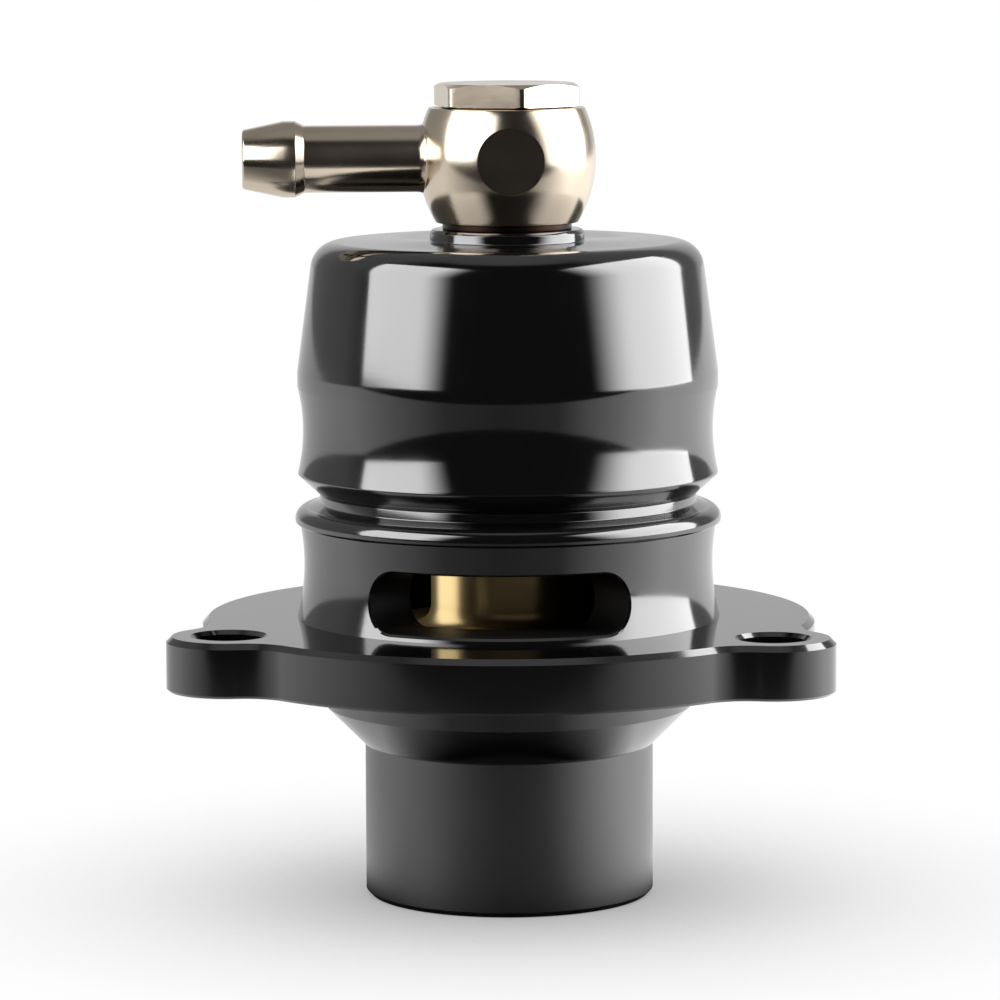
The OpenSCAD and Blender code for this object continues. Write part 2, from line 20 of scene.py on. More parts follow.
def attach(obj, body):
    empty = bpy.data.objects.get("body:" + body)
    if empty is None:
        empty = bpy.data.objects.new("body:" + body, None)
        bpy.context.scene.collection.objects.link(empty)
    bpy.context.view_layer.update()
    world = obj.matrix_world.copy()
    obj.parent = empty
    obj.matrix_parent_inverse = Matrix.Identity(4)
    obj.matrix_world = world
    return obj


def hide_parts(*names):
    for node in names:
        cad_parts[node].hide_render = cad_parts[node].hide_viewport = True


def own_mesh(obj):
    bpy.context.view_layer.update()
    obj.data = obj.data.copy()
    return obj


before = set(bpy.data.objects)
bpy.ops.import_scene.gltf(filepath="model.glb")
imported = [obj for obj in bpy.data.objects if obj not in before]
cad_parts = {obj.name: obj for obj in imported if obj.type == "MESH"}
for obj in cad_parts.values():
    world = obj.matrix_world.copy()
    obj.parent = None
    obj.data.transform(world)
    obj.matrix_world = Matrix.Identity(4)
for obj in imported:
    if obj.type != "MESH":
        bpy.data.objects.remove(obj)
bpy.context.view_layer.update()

MM = 0.001
FULL_TURN = 2 * math.pi
# A radius below this, in millimetres, is on the axis
ON_AXIS = 1e-4
# Corners that turn less than this stay as they are: they are steps of a curve
CURVE_STEP = math.radians(14)
# The most of a straight that the break of the edge at its end takes
EDGE_SHARE = 0.45
# Faces that meet at less than this angle are shaded as one surface
SMOOTH_ANGLE = math.radians(34)
# Between these two lie most values of a noise texture
NOISE_LOW, NOISE_HIGH = 0.3, 0.7
WHITE = "#ffffff"
# Watts of a lamp for each unit of radiance and square metre of its cloth
LAMP_POWER = 4

Point = tuple[float, float]
Outline = list[Point]

log = logging.getLogger("blow_off_valve")


class Body(Enum):
    """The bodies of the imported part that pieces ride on."""

    HOUSING = "housing"
    PISTON = "piston"
    BANJO = "banjo"


class Cut(Enum):
    """How one closed mesh is combined with another."""

    JOIN = "UNION"
    REMOVE = "DIFFERENCE"
    KEEP_COMMON = "INTERSECT"


class HousingFinish(Enum):
    """The housing's finishes, by the number of their material slot."""

    GLOSS = 0
    SATIN = 1
    MATT = 2


class Reach(Enum):
    """Which pieces a linked lamp lights."""

    ONLY = "INCLUDE"
    ALL_BUT = "EXCLUDE"


def linear(hex_colour: str) -> tuple[float, float, float, float]:
    """Turns an sRGB hex colour to linear light.

    Args:
        hex_colour: Six hex digits, with or without a leading #.

    Returns:
        Red, green, blue and an alpha of 1.
    """
    digits = hex_colour.lstrip("#")
    parts = [int(digits[i:i + 2], 16) / 255 for i in (0, 2, 4)]
    red, green, blue = (p / 12.92 if p <= 0.04045 else ((p + 0.055) / 1.055) ** 2.4 for p in parts)
    return red, green, blue, 1.0


def add_node(tree: NodeTree, kind: str, inputs: dict | None = None, **settings) -> Node:
    """Adds a node with its settings, constants and links.

    Args:
        tree: Node tree of a material, the world or a geometry modifier.
        kind: Blender's type name for the node.
        inputs: A constant, a source socket or a node whose first output is the source, for each input by
            its name or number.
        settings: Properties of the node itself.

    Returns:
        The new node.
    """
    node = tree.nodes.new(kind)
    for key, value in settings.items():
        setattr(node, key, value)
    for key, value in (inputs or {}).items():
        source = value.outputs[0] if isinstance(value, Node) else value
        if isinstance(source, NodeSocket):
            tree.links.new(source, node.inputs[key])
        else:
            node.inputs[key].default_value = source
    return node


def spaced(start: float, end: float, steps: int) -> list[float]:
    """Evenly spaced values from start to end, both included."""
    return [start + (end - start) * i / steps for i in range(steps + 1)]


def polar(radius: float, angle: float) -> Point:
    """The point at a distance and an angle in degrees from the origin."""
    return radius * math.cos(math.radians(angle)), radius * math.sin(math.radians(angle))


def arc(centre: Point, radius: float, start: float, end: float, steps: int) -> Outline:
    """Points along a circular arc, both ends included.

    Args:
        centre: Centre of the arc.
        radius: Radius of the arc.
        start: First angle in degrees.
        end: Last angle in degrees.
        steps: Number of straight steps.

    Returns:
        The points in order.
    """
    spots = [polar(radius, angle) for angle in spaced(start, end, steps)]
    return [(centre[0] + x, centre[1] + y) for x, y in spots]


def eased(corners: Outline, radius: float, steps: int = 4) -> Outline:
    """Breaks each sharp corner of an outline with a small arc, as a deburred edge has.

    Args:
        corners: The outline's points, closed on itself unless it starts on the axis.
        radius: Radius of the break in millimetres.
        steps: Number of straight steps in each arc.

    Returns:
        The outline with its corners broken.
    """
    result: Outline = []
    for i, corner in enumerate(corners):
        spot = Vector(corner)
        back = Vector(corners[i - 1]) - spot
        ahead = Vector(corners[(i + 1) % len(corners)]) - spot
        turn = math.pi - back.angle(ahead)
        if corner[0] < ON_AXIS or turn < CURVE_STEP:
            result.append(corner)
            continue
        reach = min(radius * math.tan(turn / 2), EDGE_SHARE * back.length, EDGE_SHARE * ahead.length)
        real_radius = reach / math.tan(turn / 2)
        inward = (back.normalized() + ahead.normalized()).normalized()
        centre = spot + inward * real_radius / math.cos(turn / 2)
        first = spot + back.normalized() * reach - centre
        last = spot + ahead.normalized() * reach - centre
        from_angle = math.atan2(first.y, first.x)
        sweep = (math.atan2(last.y, last.x) - from_angle + math.pi) % FULL_TURN - math.pi
        result += arc((centre.x, centre.y), real_radius, math.degrees(from_angle),
                      math.degrees(from_angle + sweep), steps)
    return result


def revolve(outline: Outline, segments: int = 256) -> BMesh:
    """Turns a half section round the Z axis.

    Args:
        outline: Radius and height of each point in millimetres. It starts and ends on the axis, or is a ring.
        segments: Number of steps round the axis.

    Returns:
        A closed mesh in metres, with its faces outwards.
    """
    made = bmesh.new()
    angles = [FULL_TURN * i / segments for i in range(segments)]
    rings = []
    for radius, height in outline:
        if radius < ON_AXIS:
            rings.append([made.verts.new((0, 0, height * MM))])
        else:
            rings.append([made.verts.new((radius * MM * math.cos(a), radius * MM * math.sin(a), height * MM))
                          for a in angles])
    ahead = rings[1:] if len(rings[0]) == 1 else rings[1:] + rings[:1]
    for low, high in zip(rings, ahead):
        for i in range(segments):
            j = (i + 1) % segments
            corners = (low[i % len(low)], low[j % len(low)], high[j % len(high)], high[i % len(high)])
            made.faces.new(list(dict.fromkeys(corners)))
    bmesh.ops.recalc_face_normals(made, faces=made.faces)
    return made


def rod(radius: float, low: float, high: float, segments: int = 96) -> BMesh:
    """A plain round rod on the Z axis, for drilling.

    Args:
        radius: Radius in millimetres.
        low: Height of its lower end in millimetres.
        high: Height of its upper end in millimetres.
        segments: Number of steps round the axis.

    Returns:
        A closed mesh in metres.
    """
    return revolve([(0, low), (radius, low), (radius, high), (0, high)], segments)


def raised(outline: list[Vector], height: float) -> list[Vector]:
    """An outline in metres, lifted to a height in millimetres."""
    return [point + Vector((0, 0, height * MM)) for point in outline]


def loft(rings: list[list[Vector]]) -> BMesh:
    """Skins a row of closed rings and caps both ends.

    Args:
        rings: Rings of points in metres, all with the same number of points.

    Returns:
        A closed mesh with its faces outwards.
    """
    made = bmesh.new()
    rows = [[made.verts.new(p) for p in ring] for ring in rings]
    count = len(rows[0])
    for low, high in zip(rows, rows[1:]):
        for i in range(count):
            j = (i + 1) % count
            made.faces.new((low[i], low[j], high[j], high[i]))
    made.faces.new(list(reversed(rows[0])))
    made.faces.new(rows[-1])
    bmesh.ops.recalc_face_normals(made, faces=made.faces)
    if made.calc_volume(signed=True) < 0:
        bmesh.ops.reverse_faces(made, faces=made.faces)
    return made


def shade(mesh: Mesh) -> None:
    """Shades a mesh smooth, with its real edges left sharp."""
    mesh.shade_smooth()
    mesh.set_sharp_from_angle(angle=SMOOTH_ANGLE)


def as_piece(made: BMesh, name: str, *materials: Material) -> Object:
    """Makes an object of a finished mesh.

    Args:
        made: The mesh, which is freed.
        name: Name of the object and its mesh.
        materials: Materials for its slots, in order.

    Returns:
        The object, linked to the scene.
    """
    mesh = bpy.data.meshes.new(name)
    made.to_mesh(mesh)
    made.free()
    shade(mesh)
    piece = bpy.data.objects.new(name, mesh)
    bpy.context.scene.collection.objects.link(piece)
    for material in materials:
        mesh.materials.append(material)
    return piece


def settle(piece: Object) -> None:
    """Turns a piece's modifiers into a plain mesh and removes them.

    Args:
        piece: The piece, whose mesh is replaced.
    """
    bpy.context.view_layer.update()
    depsgraph = bpy.context.evaluated_depsgraph_get()
    settled = bpy.data.meshes.new_from_object(piece.evaluated_get(depsgraph), depsgraph=depsgraph)
    piece.modifiers.clear()
    former = piece.data
    settled.name = former.name + "_settled"
    piece.data = settled
    bpy.data.meshes.remove(former)


def combine(piece: Object, tool: Object, how: Cut) -> None:
    """Joins a tool to a piece or cuts it away, and deletes the tool.

    Args:
        piece: The object that stays.
        tool: The object that is used up.
        how: What happens between the two.
    """
    modifier = piece.modifiers.new(how.name, "BOOLEAN")
    modifier.object = tool
    modifier.operation = how.value
    modifier.solver = "EXACT"
    settle(piece)
    bpy.data.objects.remove(tool)
    shade(piece.data)


def hand_over(piece: Object, body: Body, slot: str, *nodes: str) -> None:
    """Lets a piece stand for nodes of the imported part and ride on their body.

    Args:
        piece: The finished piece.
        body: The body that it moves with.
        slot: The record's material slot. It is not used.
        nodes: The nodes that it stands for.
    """
    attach(piece, body.value)
    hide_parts(*nodes)
    log.info("%s: %d faces, stands for %s", piece.name, len(piece.data.polygons), ", ".join(nodes))


@dataclass(frozen=True)
class TurnedSurface:
    """A turned or polished surface: tool marks in rings, uneven gloss and faint specks.

    The shader's own numbers are fields, and the pattern sizes are real sizes in millimetres.
    """

    name: str
    dark: str
    light: str
    metallic: float
    roughness: float
    gloss_change: float = 0.04
    ior: float = 1.5
    lay_mm: float = 0.35
    lay_depth_mm: float = 0.0006
    cloud_mm: float = 9.0
    speck_mm: float = 0.5
    speck_depth_mm: float = 0.0

    def material(self) -> Material:
        """Builds the material, or returns the one already built.

        Returns:
            The material.
        """
        found = bpy.data.materials.get(self.name)
        if found:
            return found
        material = bpy.data.materials.new(self.name)
        material.use_nodes = True
        tree = material.node_tree
        node = partial(add_node, tree)
        shader = tree.nodes["Principled BSDF"]
        place = node("ShaderNodeTexCoord").outputs["Object"]
        clouds = node("ShaderNodeTexNoise", {
            "Vector": place, "Scale": 1 / (self.cloud_mm * MM), "Detail": 4.0})
        colour = node("ShaderNodeMix", {
            "Factor": clouds, "A": linear(self.dark), "B": linear(self.light)}, data_type="RGBA")
        gloss = node("ShaderNodeMapRange", {
            "Value": clouds, "From Min": NOISE_LOW, "From Max": NOISE_HIGH,
            "To Min": self.roughness - self.gloss_change, "To Max": self.roughness + self.gloss_change})
        # Tool marks run round the axis, so they change with the radius and the height alone
        across = node("ShaderNodeVectorMath", {0: place, 1: (1.0, 1.0, 0.0)}, operation="MULTIPLY")
        radius = node("ShaderNodeVectorMath", {0: across}, operation="LENGTH").outputs["Value"]
        height = node("ShaderNodeSeparateXYZ", {"Vector": place}).outputs["Z"]
        along = node("ShaderNodeMath", {0: radius, 1: height}, operation="ADD")
        lay = node("ShaderNodeTexNoise", {
            "W": along, "Scale": 1 / (self.lay_mm * MM), "Detail": 3.0}, noise_dimensions="1D")
        bump = node("ShaderNodeBump", {"Height": lay, "Strength": 1.0, "Distance": self.lay_depth_mm * MM})
        if self.speck_depth_mm:
            specks = node("ShaderNodeTexNoise", {
                "Vector": place, "Scale": 1 / (self.speck_mm * MM), "Detail": 2.0})
            bump = node("ShaderNodeBump", {
                "Height": specks, "Strength": 1.0, "Distance": self.speck_depth_mm * MM, "Normal": bump})
        for name, source in (("Base Color", colour.outputs["Result"]), ("Roughness", gloss.outputs["Result"]),
                             ("Normal", bump.outputs["Normal"])):
            tree.links.new(source, shader.inputs[name])
        shader.inputs["Metallic"].default_value = self.metallic
        if not self.metallic:
            shader.inputs["IOR"].default_value = self.ior
        return material


# Black anodised aluminium, polished before anodising: a hard clear film over black, so deep and mirror-like
GLOSS_BLACK = TurnedSurface("gloss_black_anodised_aluminium", "#040404", "#070707", 0.0, 0.10, 0.02, ior=2.0)
# Black anodised aluminium as it left the lathe: the fine thread of the tool scatters light to a satin grey
SATIN_BLACK = TurnedSurface("satin_black_anodised_aluminium", "#0d0d0f", "#151517", 0.0, 0.36, 0.03, ior=2.0,
                            lay_depth_mm=0.0016)
# Black anodised aluminium inside the chamber, milled and left unpolished: matt, so almost no light comes back
MATT_BLACK = TurnedSurface("matt_black_anodised_aluminium", "#020202", "#040404", 0.0, 0.5, 0.03, ior=1.3)
# Bright nickel plate on brass: a warm white metal with a soft orange peel
NICKEL = TurnedSurface("bright_nickel_plate", "#c6b7a2", "#dacdbb", 1.0, 0.17, 0.04, lay_depth_mm=0.001,
                       speck_depth_mm=0.002)
# Turned brass: pale yellow with fine rings from the tool
BRASS = TurnedSurface("turned_brass", "#c9b27a", "#dac68f", 1.0, 0.14, 0.03, lay_depth_mm=0.001)
# Aluminium as turned, not anodised: bright with clear rings
ALUMINIUM = TurnedSurface("turned_aluminium", "#b4b6ba", "#cfd1d4", 1.0, 0.28, 0.05, lay_depth_mm=0.002)
# Sintered bronze: dull brown and slightly porous
BRONZE = TurnedSurface("sintered_bronze", "#7d5528", "#9a6e38", 1.0, 0.42, 0.06, speck_mm=0.25,
                       speck_depth_mm=0.006)
# Oiled spring steel: dark grey, smooth from drawing
SPRING_STEEL = TurnedSurface("oiled_spring_steel", "#55575b", "#6f7176", 1.0, 0.30, 0.05)
# Zinc plate: pale grey with a fine grain
ZINC = TurnedSurface("zinc_plated_steel", "#9a9da1", "#b7babd", 1.0, 0.34, 0.06, speck_depth_mm=0.002)
# Annealed copper: brown and dulled by the heat it was softened in, and painted darker, almost black, for the
# shade that falls between the eye and the pad
COPPER_TARNISH_AND_SHADE = TurnedSurface("annealed_copper_tarnish_and_painted_shade", "#241c18", "#30241d", 1.0, 0.36, 0.06)
# Moulded nitrile rubber: black and dull
RUBBER = TurnedSurface("moulded_nitrile_rubber", "#0d0d0d", "#151515", 0.0, 0.55, 0.06, lay_depth_mm=0.0,
                       speck_mm=0.2, speck_depth_mm=0.003)
# Filled wear plastic: cream and waxy
WEAR_PLASTIC = TurnedSurface("filled_wear_plastic", "#c9c1ae", "#d8d1c0", 0.0, 0.42, 0.05)


def new_tree(name: str, inputs: dict[str, str]) -> NodeTree:
    """Makes an empty geometry node tree with named inputs and one output.

    Args:
        name: Name of the tree.
        inputs: Kind of each input, such as Float, by the input's name.

    Returns:
        The tree.
    """
    tree = bpy.data.node_groups.new(name, "GeometryNodeTree")
    tree.is_modifier = True
    for label, kind in inputs.items():
        tree.interface.new_socket(label, in_out="INPUT", socket_type="NodeSocket" + kind)
    tree.interface.new_socket("Result", in_out="OUTPUT", socket_type="NodeSocketGeometry")
    return tree


def close_tree(tree: NodeTree, shape: Node, finish: NodeSocket) -> None:
    """Ends a geometry node tree: makes its copies real and gives them their material.

    Args:
        tree: The node tree.
        shape: The node that makes the geometry.
        finish: Source of the material.
    """
    real = add_node(tree, "GeometryNodeRealizeInstances", {"Geometry": shape})
    dressed = add_node(tree, "GeometryNodeSetMaterial", {"Geometry": real, "Material": finish})
    add_node(tree, "NodeGroupOutput", {0: dressed})


def run_nodes(piece: Object, tree: NodeTree, values: dict) -> None:
    """Runs a geometry node tree on a piece and keeps the plain mesh.

    Args:
        piece: The piece whose mesh the tree reads and replaces.
        tree: The node tree.
        values: Value of each named input.
    """
    modifier = piece.modifiers.new(tree.name, "NODES")
    modifier.node_group = tree
    identifiers = {item.name: item.identifier for item in tree.interface.items_tree if item.in_out == "INPUT"}
    for name, value in values.items():
        modifier[identifiers[name]] = value
    settle(piece)
    shade(piece.data)


class Repeats:
    """Geometry Nodes that copy a mesh round the valve's axis."""

    name: str = "copies_round_the_axis"

    @classmethod
    def tree(cls) -> NodeTree:
        """Builds the node tree, or returns the one already built.

        Returns:
            The tree.
        """
        found = bpy.data.node_groups.get(cls.name)
        if found:
            return found
        tree = new_tree(cls.name, {
            "Shape": "Geometry", "Copies": "Int", "First Angle": "Float", "Finish": "Material"})
        node = partial(add_node, tree)
        given = node("NodeGroupInput").outputs
        step = node("ShaderNodeMath", {0: FULL_TURN, 1: given["Copies"]}, operation="DIVIDE")
        index = node("GeometryNodeInputIndex")
        angle = node("ShaderNodeMath", {0: index, 1: step, 2: given["First Angle"]}, operation="MULTIPLY_ADD")
        turn = node("ShaderNodeCombineXYZ", {"Z": angle})
        rotation = node("FunctionNodeEulerToRotation", {"Euler": turn})
        points = node("GeometryNodePoints", {"Count": given["Copies"]})
        copies = node("GeometryNodeInstanceOnPoints", {
            "Points": points, "Instance": given["Shape"], "Rotation": rotation})
        close_tree(tree, copies, given["Finish"])
        return tree

    @classmethod
    def apply(cls, piece: Object, copies: int, first_angle: float, finish: Material) -> None:
        """Copies a piece's mesh round the axis.

        Args:
            piece: The piece that holds one shape.
            copies: How many shapes there will be.
            first_angle: Angle of the first one in degrees.
            finish: Material of all of them.
        """
        run_nodes(piece, cls.tree(), {"Copies": copies, "First Angle": math.radians(first_angle),
                                      "Finish": finish})


@dataclass
class Housing:
    """Flange, spigot and vented body, turned and milled from one billet."""

    flange_t: float = 5.25
    flange_r: float = 30.0
    flange_chamfer: float = 0.55
    flange_low_chamfer: float = 0.25
    ear_count: int = 3
    ear_r: float = 6.0
    ear_fillet_r: float = 5.0
    bolt_circle_r: float = 30.0
    hole_r: float = 3.3
    hole_chamfer: float = 0.4
    spigot_r: float = 14.15
    spigot_l: float = 22.3
    spigot_bore_r: float = 12.0
    spigot_edge: float = 0.5
    shoulder_r: float = 18.0
    shoulder_h: float = 3.5
    shoulder_cone_h: float = 3.85
    waist_r: float = 20.0
    waist_z: float = 10.6
    waist_arc_r: float = 20.0
    bead_r: float = 20.85
    bead_nose_r: float = 1.2
    bead_axis_z: float = 14.95
    bead_top: float = 16.5
    nose_from: float = -15.0
    blend_z: float = 14.42
    neck_r: float = 18.45
    neck_top: float = 17.45
    collar_r: float = 17.4
    collar_top: float = 30.95
    collar_chamfer: float = 0.45
    seal_groove_r: float = 16.5
    seal_groove_z: float = 28.95
    seal_groove_h: float = 1.4
    ring_groove_r: float = 15.8
    ring_groove_z: float = 17.0
    ring_groove_h: float = 1.1
    cylinder_r: float = 15.0
    guide_z: float = 13.2
    chamber_r: float = 14.4
    seat_z: float = 2.5
    vent_count: int = 1
    vent_z: float = 5.8
    vent_h: float = 5.8
    vent_span: float = 59.6
    vent_edge: float = 0.18
    edge: float = 0.12
    # How far a cutter reaches past the plate, and the vent's past the wall
    past: float = 1.0
    vent_past: float = 0.05
    # How far the body is sunk into the plate, and how far past the shoulder faces count as the chamber's
    sink: float = 0.5
    wall_margin: float = 0.5

    def body_radius(self, height: float) -> float:
        """Radius of the hollow curve down the body at a height, both in millimetres."""
        drop = math.sqrt(self.waist_arc_r ** 2 - (height - self.waist_z) ** 2)
        return self.waist_r + self.waist_arc_r - drop

    def section(self) -> Outline:
        """Half section of the turned body, sunk a little into the flange plate.

        Returns:
            Radius and height of each point in millimetres.
        """
        seal_top, ring_top = self.seal_groove_z + self.seal_groove_h, self.ring_groove_z + self.ring_groove_h
        spigot = [(self.spigot_bore_r, -self.spigot_l), (self.spigot_r - self.spigot_edge, -self.spigot_l),
                  (self.spigot_r, self.spigot_edge - self.spigot_l),
                  (self.spigot_r, -self.shoulder_h - self.shoulder_cone_h),
                  (self.shoulder_r, -self.shoulder_h), (self.shoulder_r, self.flange_t / 2)]
        body = [(self.body_radius(z), z) for z in spaced(self.flange_t - self.sink, self.blend_z, 40)]
        nose = (self.bead_r - self.bead_nose_r, self.bead_axis_z)
        bead = arc(nose, self.bead_nose_r, self.nose_from, 90, 28)
        collar = [(self.neck_r, self.bead_top), (self.neck_r, self.neck_top), (self.collar_r, self.neck_top),
                  (self.collar_r, self.seal_groove_z), (self.seal_groove_r, self.seal_groove_z),
                  (self.seal_groove_r, seal_top), (self.collar_r, seal_top),
                  (self.collar_r, self.collar_top - self.collar_chamfer),
                  (self.collar_r - self.collar_chamfer, self.collar_top), (self.cylinder_r, self.collar_top)]
        inside = [(self.cylinder_r, ring_top), (self.ring_groove_r, ring_top),
                  (self.ring_groove_r, self.ring_groove_z), (self.cylinder_r, self.ring_groove_z),
                  (self.cylinder_r, self.guide_z), (self.chamber_r, self.guide_z),
                  (self.chamber_r, self.seat_z), (self.spigot_bore_r, self.seat_z)]
        return eased(spigot + body + bead + collar + inside, self.edge)

    def flange_outline(self, inset: float) -> list[Vector]:
        """The flange's outline, moved inwards by an inset.

        Args:
            inset: Distance from the true outline in millimetres.

        Returns:
            Points in metres at height zero, the same number for any inset.
        """
        reach_disc = self.flange_r + self.ear_fillet_r
        reach_ear = self.ear_r + self.ear_fillet_r
        half_turn = math.degrees(math.acos((self.bolt_circle_r ** 2 + reach_disc ** 2 - reach_ear ** 2)
                                           / (2 * self.bolt_circle_r * reach_disc)))
        fillet_turn = math.degrees(math.acos((reach_disc ** 2 + reach_ear ** 2 - self.bolt_circle_r ** 2)
                                             / (2 * reach_disc * reach_ear)))
        outside = 180 - half_turn - fillet_turn
        spread = 360 / self.ear_count
        hollow = self.ear_fillet_r + inset
        points: Outline = []
        for i in range(self.ear_count):
            middle = 90 + i * spread
            first, last = middle - half_turn, middle + half_turn
            points += arc(polar(reach_disc, first), hollow, first + 180, first + 180 - fillet_turn, 24)[:-1]
            points += arc(polar(self.bolt_circle_r, middle), self.ear_r - inset,
                          middle - 180 + outside, middle + 180 - outside, 96)[:-1]
            points += arc(polar(reach_disc, last), hollow, last + 180 + fillet_turn, last + 180, 24)[:-1]
            points += arc((0, 0), self.flange_r - inset, last, middle + spread - half_turn, 120)[:-1]
        return [Vector((x * MM, y * MM, 0)) for x, y in points]

    def plate(self) -> BMesh:
        """The flange plate with its chamfers, without holes."""
        levels = [(self.flange_low_chamfer, 0), (0, self.flange_low_chamfer),
                  (0, self.flange_t - self.flange_chamfer), (self.flange_chamfer, self.flange_t)]
        return loft([raised(self.flange_outline(inset), z) for inset, z in levels])

    def hole_cutter(self) -> BMesh:
        """Cutter for one bolt hole, flared at both faces of the plate and placed on the +X axis.

        Returns:
            A closed mesh in metres.
        """
        low, high = -self.past, self.flange_t + self.past
        wide = self.hole_r + self.hole_chamfer + self.past
        made = revolve([(0, low), (wide, low), (self.hole_r, self.hole_chamfer),
                        (self.hole_r, self.flange_t - self.hole_chamfer), (wide, high), (0, high)], 96)
        bmesh.ops.translate(made, verts=made.verts, vec=(self.bolt_circle_r * MM, 0, 0))
        return made

    def vent_cutter(self) -> BMesh:
        """Cutter for one vent towards +X: a slot with round ends, its outer edge broken at 45 degrees.

        Returns:
            A closed mesh in metres.
        """
        half = self.vent_h / 2
        middle_z = self.vent_z + half
        straight = math.radians(self.vent_span / 2) * self.waist_r
        lower = [(x, -half) for x in spaced(-straight, straight, 24)[:-1]]
        outline = lower + arc((straight, 0), half, -90, 90, 48)[:-1]
        outline += [(-x, -z) for x, z in outline]
        ends = [(max(min(x, straight), -straight), 0.0) for x, _ in outline]
        rings = []
        mouth = self.vent_edge + self.vent_past
        for depth, spread in ((None, 0.0), (-self.vent_edge, 0.0), (self.vent_past, mouth),
                              (self.waist_r, mouth)):
            ring = []
            for (x, z), (end_x, end_z) in zip(outline, ends):
                out = Vector((x - end_x, z - end_z)).normalized() * spread
                angle = (x + out.x) / self.waist_r
                height = middle_z + z + out.y
                radius = self.chamber_r / 2 if depth is None else self.body_radius(middle_z + z) + depth
                ring.append(Vector((radius * math.cos(angle), radius * math.sin(angle), height)) * MM)
            rings.append(ring)
        return loft(rings)

    def build(self) -> None:
        """Makes the housing and hands it over."""
        gloss = GLOSS_BLACK.material()
        finishes = (gloss, SATIN_BLACK.material(), MATT_BLACK.material())
        shell = as_piece(self.plate(), "housing_shell", *finishes)
        opening_r = (self.chamber_r + self.shoulder_r) / 2
        opening = rod(opening_r, -self.past, self.flange_t + self.past, 256)
        combine(shell, as_piece(opening, "opening_cutter", gloss), Cut.REMOVE)
        combine(shell, as_piece(revolve(self.section()), "turned_body", *finishes), Cut.JOIN)
        holes = as_piece(self.hole_cutter(), "hole_cutters", gloss)
        Repeats.apply(holes, self.ear_count, 90, gloss)
        combine(shell, holes, Cut.REMOVE)
        vents = as_piece(self.vent_cutter(), "vent_cutters", gloss)
        Repeats.apply(vents, self.vent_count, -90, gloss)
        combine(shell, vents, Cut.REMOVE)
        self.dress(shell)
        hand_over(shell, Body.HOUSING, "black_anodised", "base_housing")

    def dress(self, shell: Object) -> None:
        """Leaves the spigot satin and the inside matt, and polishes the rest.

        Args:
            shell: The housing, with those finishes in its slots.
        """
        cone_end = -(self.shoulder_h + self.shoulder_cone_h) * MM
        low, high = self.vent_z * MM, self.guide_z * MM
        wall_r = (self.shoulder_r + self.wall_margin) * MM
        for face in shell.data.polygons:
            middle = face.center
            if low < middle.z < high and middle.xy.length < wall_r:
                finish = HousingFinish.MATT
            else:
                finish = HousingFinish.SATIN if middle.z < cone_end else HousingFinish.GLOSS
            face.material_index = finish.value


@dataclass
class Cap:
    """Cap with a hollow band, a tapered dome and a round pad for the banjo union."""

    bottom_z: float = 17.45
    foot_r: float = 18.5
    widest_r: float = 20.55
    bevel_h: float = 1.9
    band_r: float = 20.03
    band_arc_r: float = 17.6
    band_rise: float = 6.25
    skirt_h: float = 11.85
    dome_h: float = 12.7
    taper: float = 7.6
    round_r: float = 2.7
    pad_r: float = 7.55
    pad_h: float = 1.15
    pad_bevel: float = 0.3
    bolt_r: float = 4.0
    bore_r: float = 17.43
    bore_top: float = 31.0
    chamber_r: float = 14.0
    roof_t: float = 3.4
    boss_r: float = 6.5
    boss_h: float = 2.6
    edge: float = 0.15

    def section(self) -> Outline:
        """Half section of the cap.

        Returns:
            Radius and height of each point in millimetres.
        """
        edge_z = self.bottom_z + self.skirt_h
        top_z = edge_z + self.dome_h
        roof_z = top_z - self.roof_t
        axis_r, axis_z = self.band_r + self.band_arc_r, self.bottom_z + self.band_rise
        band_half = math.sqrt(self.band_arc_r ** 2 - (axis_r - self.widest_r) ** 2)
        heights = spaced(axis_z - band_half, axis_z + band_half, 40)
        slope = math.radians(self.taper)
        round_z = top_z - self.round_r
        round_r = self.widest_r - (self.round_r + (round_z - edge_z) * math.sin(slope)) / math.cos(slope)
        skirt = [(self.foot_r, self.bottom_z), (self.widest_r, self.bottom_z + self.bevel_h)]
        skirt += [(axis_r - math.sqrt(self.band_arc_r ** 2 - (z - axis_z) ** 2), z) for z in heights]
        dome = [(self.widest_r, edge_z), *arc((round_r, round_z), self.round_r, self.taper, 90, 24)]
        pad = [(self.pad_r, top_z), (self.pad_r, top_z + self.pad_h - self.pad_bevel),
               (self.pad_r - self.pad_bevel, top_z + self.pad_h), (self.bolt_r, top_z + self.pad_h)]
        inside = [(self.bolt_r, roof_z - self.boss_h), (self.boss_r, roof_z - self.boss_h),
                  (self.boss_r, roof_z), (self.chamber_r, roof_z), (self.chamber_r, self.bore_top),
                  (self.bore_r, self.bore_top), (self.bore_r, self.bottom_z)]
        return eased(skirt + dome + pad + inside, self.edge)

    def build(self) -> None:
        """Makes the cap and hands it over."""
        shell = as_piece(revolve(self.section(), 320), "cap_shell", GLOSS_BLACK.material())
        hand_over(shell, Body.HOUSING, "black_anodised", "top_cap")


